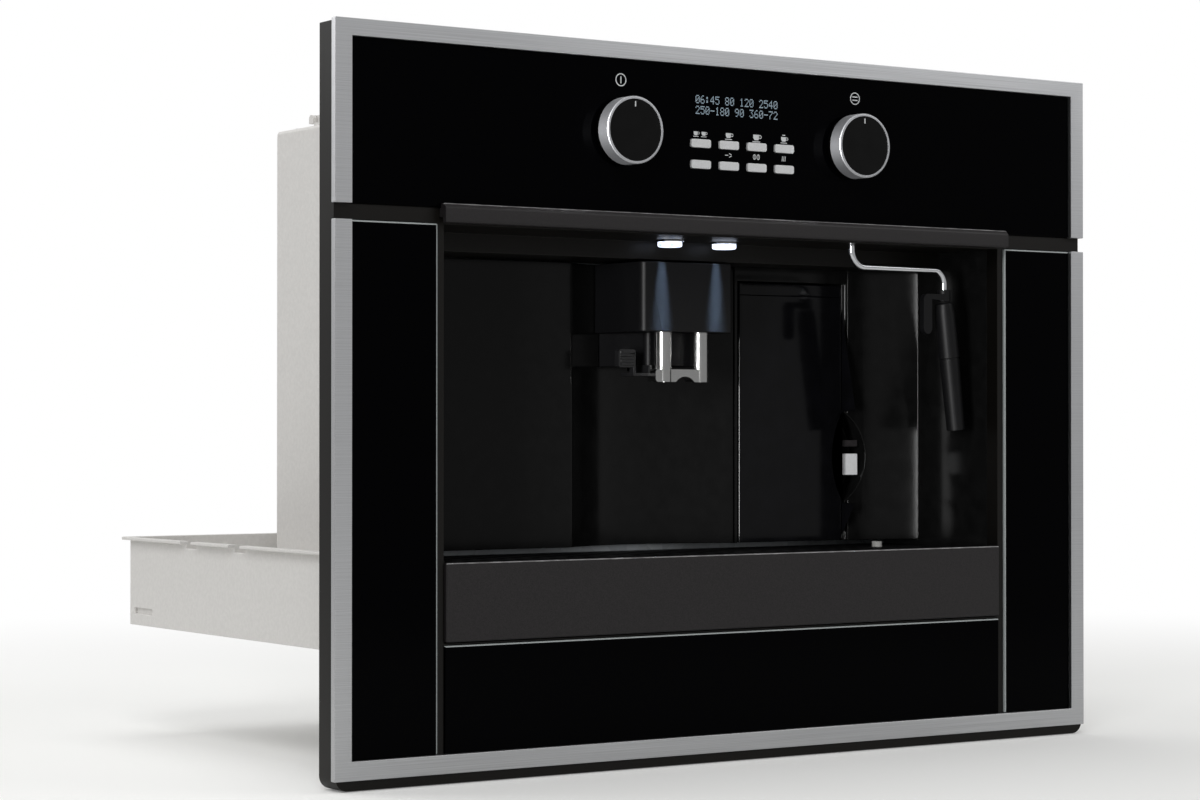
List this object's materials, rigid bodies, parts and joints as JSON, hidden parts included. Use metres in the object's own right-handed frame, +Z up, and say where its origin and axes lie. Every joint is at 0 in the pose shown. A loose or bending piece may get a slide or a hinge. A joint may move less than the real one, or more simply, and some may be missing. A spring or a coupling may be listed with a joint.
{
  "type": "built-in coffee machine",
  "caption": "Built-in fully automatic coffee machine with a black glass front, steel trim, a lit recess, a height-adjustable spout, a steam wand and a drip tray.",
  "frame": {"origin": "bottom centre of the front moulding's rear face, the plane that meets the cabinet's front edges", "axes": "+X right as seen from the front, +Y into the cabinet, +Z up; the front faces -Y"},
  "size_m": [0.595, 0.3915, 0.455],
  "materials": {
    "brushed_stainless": "brushed along its length",
    "black_glass": "polished black glass",
    "black_moulding": "fine grained black plastic",
    "dark_textured": "fine textured dark grey",
    "gloss_black": "glossy black plastic",
    "chrome": "polished",
    "light_grey_casing": "satin painted sheet",
    "silver_plastic": "satin silver plastic",
    "lamp_lens": "frosted",
    "smoked_tank": "smoked plastic",
    "zinc_sheet": "galvanised sheet",
    "circuit_board": "lacquered board",
    "black_rubber": "soft matt",
    "machined_steel": "turned",
    "inner_plastic": "matt black plastic",
    "float_red": "red plastic"
  },
  "bodies": {
    "machine": {"front_frame": "black_moulding", "upper_steel_trim": "brushed_stainless", "lower_steel_trim": "brushed_stainless", "control_glass": "black_glass", "pillar_glasses": "black_glass", "lower_glass": "black_glass", "handle_strip": "dark_textured", "control_board": "circuit_board", "knob_encoders": "machined_steel", "recess_liner": "gloss_black", "recess_ceiling": "black_moulding", "lamp_lenses": "lamp_lens", "door_hinge_pins": "machined_steel", "tank_coupling": "black_rubber", "steam_connector": "machined_steel", "carriage_tray": "light_grey_casing", "body_housing": "light_grey_casing", "rear_cover": "light_grey_casing", "inner_chassis": "zinc_sheet", "bean_hopper": "inner_plastic", "grinder": "inner_plastic", "brew_frame": "inner_plastic", "gear_motor": "inner_plastic", "grounds_container": "inner_plastic", "boiler": "machined_steel", "water_pump": "inner_plastic", "power_inlet": "inner_plastic"},
    "left_knob": {"left_knob_cap": "gloss_black", "left_knob_ring": "chrome"},
    "right_knob": {"right_knob_cap": "gloss_black", "right_knob_ring": "chrome"},
    "door": {"service_door": "gloss_black"},
    "spout": {"spout_housing": "gloss_black", "spout_tubes": "chrome", "spout_grip": "inner_plastic"},
    "tank": {"tank_body": "smoked_tank", "tank_lid": "smoked_tank", "tank_grip": "silver_plastic"},
    "tray": {"drip_tray": "inner_plastic", "drip_tray_front": "dark_textured", "drip_grille": "brushed_stainless"},
    "level_float": {"tray_float": "float_red"},
    "wand": {"wand_pipe": "chrome", "wand_grip": "inner_plastic", "wand_nozzle": "inner_plastic"},
    "bean_lid": {"hopper_lid": "light_grey_casing"},
    "coffee_flap": {"ground_coffee_flap": "light_grey_casing"},
    "grind_setting": {"grind_dial": "inner_plastic"},
    "burr": {"cone_burr": "machined_steel"},
    "chamber": {"brew_chamber": "inner_plastic"},
    "lift_screw": {"brew_screw": "machined_steel"},
    "rocker": {"switch_rocker": "black_rubber"},
    "button_1_body": {"button_1": "silver_plastic"},
    "button_2_body": {"button_2": "silver_plastic"},
    "button_3_body": {"button_3": "silver_plastic"},
    "button_4_body": {"button_4": "silver_plastic"},
    "button_5_body": {"button_5": "silver_plastic"},
    "button_6_body": {"button_6": "silver_plastic"},
    "button_7_body": {"button_7": "silver_plastic"},
    "button_8_body": {"button_8": "silver_plastic"}
  },
  "joints": [
    {"name": "left_knob_turn", "type": "hinge", "parent": "machine", "child": "left_knob", "pos_m": [-0.0917, -0.02, 0.399], "axis": [0, 1, 0], "continuous": true},
    {"name": "right_knob_turn", "type": "hinge", "parent": "machine", "child": "right_knob", "pos_m": [0.0917, -0.02, 0.399], "axis": [0, 1, 0], "continuous": true},
    {"name": "door_swing", "type": "hinge", "parent": "machine", "child": "door", "pos_m": [-0.213, 0.086, 0.2285], "axis": [0, 0, -1], "range_deg": [0, 90]},
    {"name": "spout_height", "type": "slide", "parent": "door", "child": "spout", "axis": [0, 0, 1], "range_m": [-0.035, 0]},
    {"name": "tank_slide", "type": "slide", "parent": "machine", "child": "tank", "axis": [0, -1, 0], "range_m": [0, 0.19]},
    {"name": "tray_slide", "type": "slide", "parent": "machine", "child": "tray", "axis": [0, -1, 0], "range_m": [0, 0.12]},
    {"name": "float_rise", "type": "slide", "parent": "tray", "child": "level_float", "axis": [0, 0, 1], "range_m": [0, 0.005]},
    {"name": "wand_swivel", "type": "hinge", "parent": "machine", "child": "wand", "pos_m": [0.104, -0.004, 0.34], "axis": [0, 0, 1], "range_deg": [-80, 0]},
    {"name": "bean_lid_open", "type": "hinge", "parent": "machine", "child": "bean_lid", "pos_m": [-0.03, 0.2927, 0.4312], "axis": [-1, 0, 0], "range_deg": [0, 85]},
    {"name": "coffee_flap_open", "type": "hinge", "parent": "machine", "child": "coffee_flap", "pos_m": [0.122, 0.205, 0.4297], "axis": [-1, 0, 0], "range_deg": [0, 80]},
    {"name": "grind_dial_turn", "type": "hinge", "parent": "machine", "child": "grind_setting", "pos_m": [0.122, 0.252, 0.43], "axis": [0, 0, 1], "range_deg": [0, 270]},
    {"name": "burr_spin", "type": "hinge", "parent": "machine", "child": "burr", "pos_m": [-0.02, 0.265, 0.3], "axis": [0, 0, 1], "continuous": true},
    {"name": "chamber_lift", "type": "slide", "parent": "machine", "child": "chamber", "axis": [0, 0, 1], "range_m": [0, 0.032]},
    {"name": "lift_screw_turn", "type": "hinge", "parent": "machine", "child": "lift_screw", "pos_m": [-0.02, 0.208, 0.2], "axis": [0, 0, 1], "range_deg": [0, 1450]},
    {"name": "rocker_tilt", "type": "hinge", "parent": "machine", "child": "rocker", "pos_m": [-0.088, 0.33, 0.176], "axis": [1, 0, 0], "range_deg": [0, 12]},
    {"name": "button_1_press", "type": "slide", "parent": "machine", "child": "button_1_body", "axis": [0, 1, 0], "range_m": [0, 0.001], "stiffness_N_per_m": 900, "springref_m": -0.0005},
    {"name": "button_2_press", "type": "slide", "parent": "machine", "child": "button_2_body", "axis": [0, 1, 0], "range_m": [0, 0.001], "stiffness_N_per_m": 900, "springref_m": -0.0005},
    {"name": "button_3_press", "type": "slide", "parent": "machine", "child": "button_3_body", "axis": [0, 1, 0], "range_m": [0, 0.001], "stiffness_N_per_m": 900, "springref_m": -0.0005},
    {"name": "button_4_press", "type": "slide", "parent": "machine", "child": "button_4_body", "axis": [0, 1, 0], "range_m": [0, 0.001], "stiffness_N_per_m": 900, "springref_m": -0.0005},
    {"name": "button_5_press", "type": "slide", "parent": "machine", "child": "button_5_body", "axis": [0, 1, 0], "range_m": [0, 0.001], "stiffness_N_per_m": 900, "springref_m": -0.0005},
    {"name": "button_6_press", "type": "slide", "parent": "machine", "child": "button_6_body", "axis": [0, 1, 0], "range_m": [0, 0.001], "stiffness_N_per_m": 900, "springref_m": -0.0005},
    {"name": "button_7_press", "type": "slide", "parent": "machine", "child": "button_7_body", "axis": [0, 1, 0], "range_m": [0, 0.001], "stiffness_N_per_m": 900, "springref_m": -0.0005},
    {"name": "button_8_press", "type": "slide", "parent": "machine", "child": "button_8_body", "axis": [0, 1, 0], "range_m": [0, 0.001], "stiffness_N_per_m": 900, "springref_m": -0.0005}
  ],
  "couplings": [
    {"joint": "lift_screw_turn", "follows": "chamber_lift", "rad_per_m": 785.4}
  ]
}
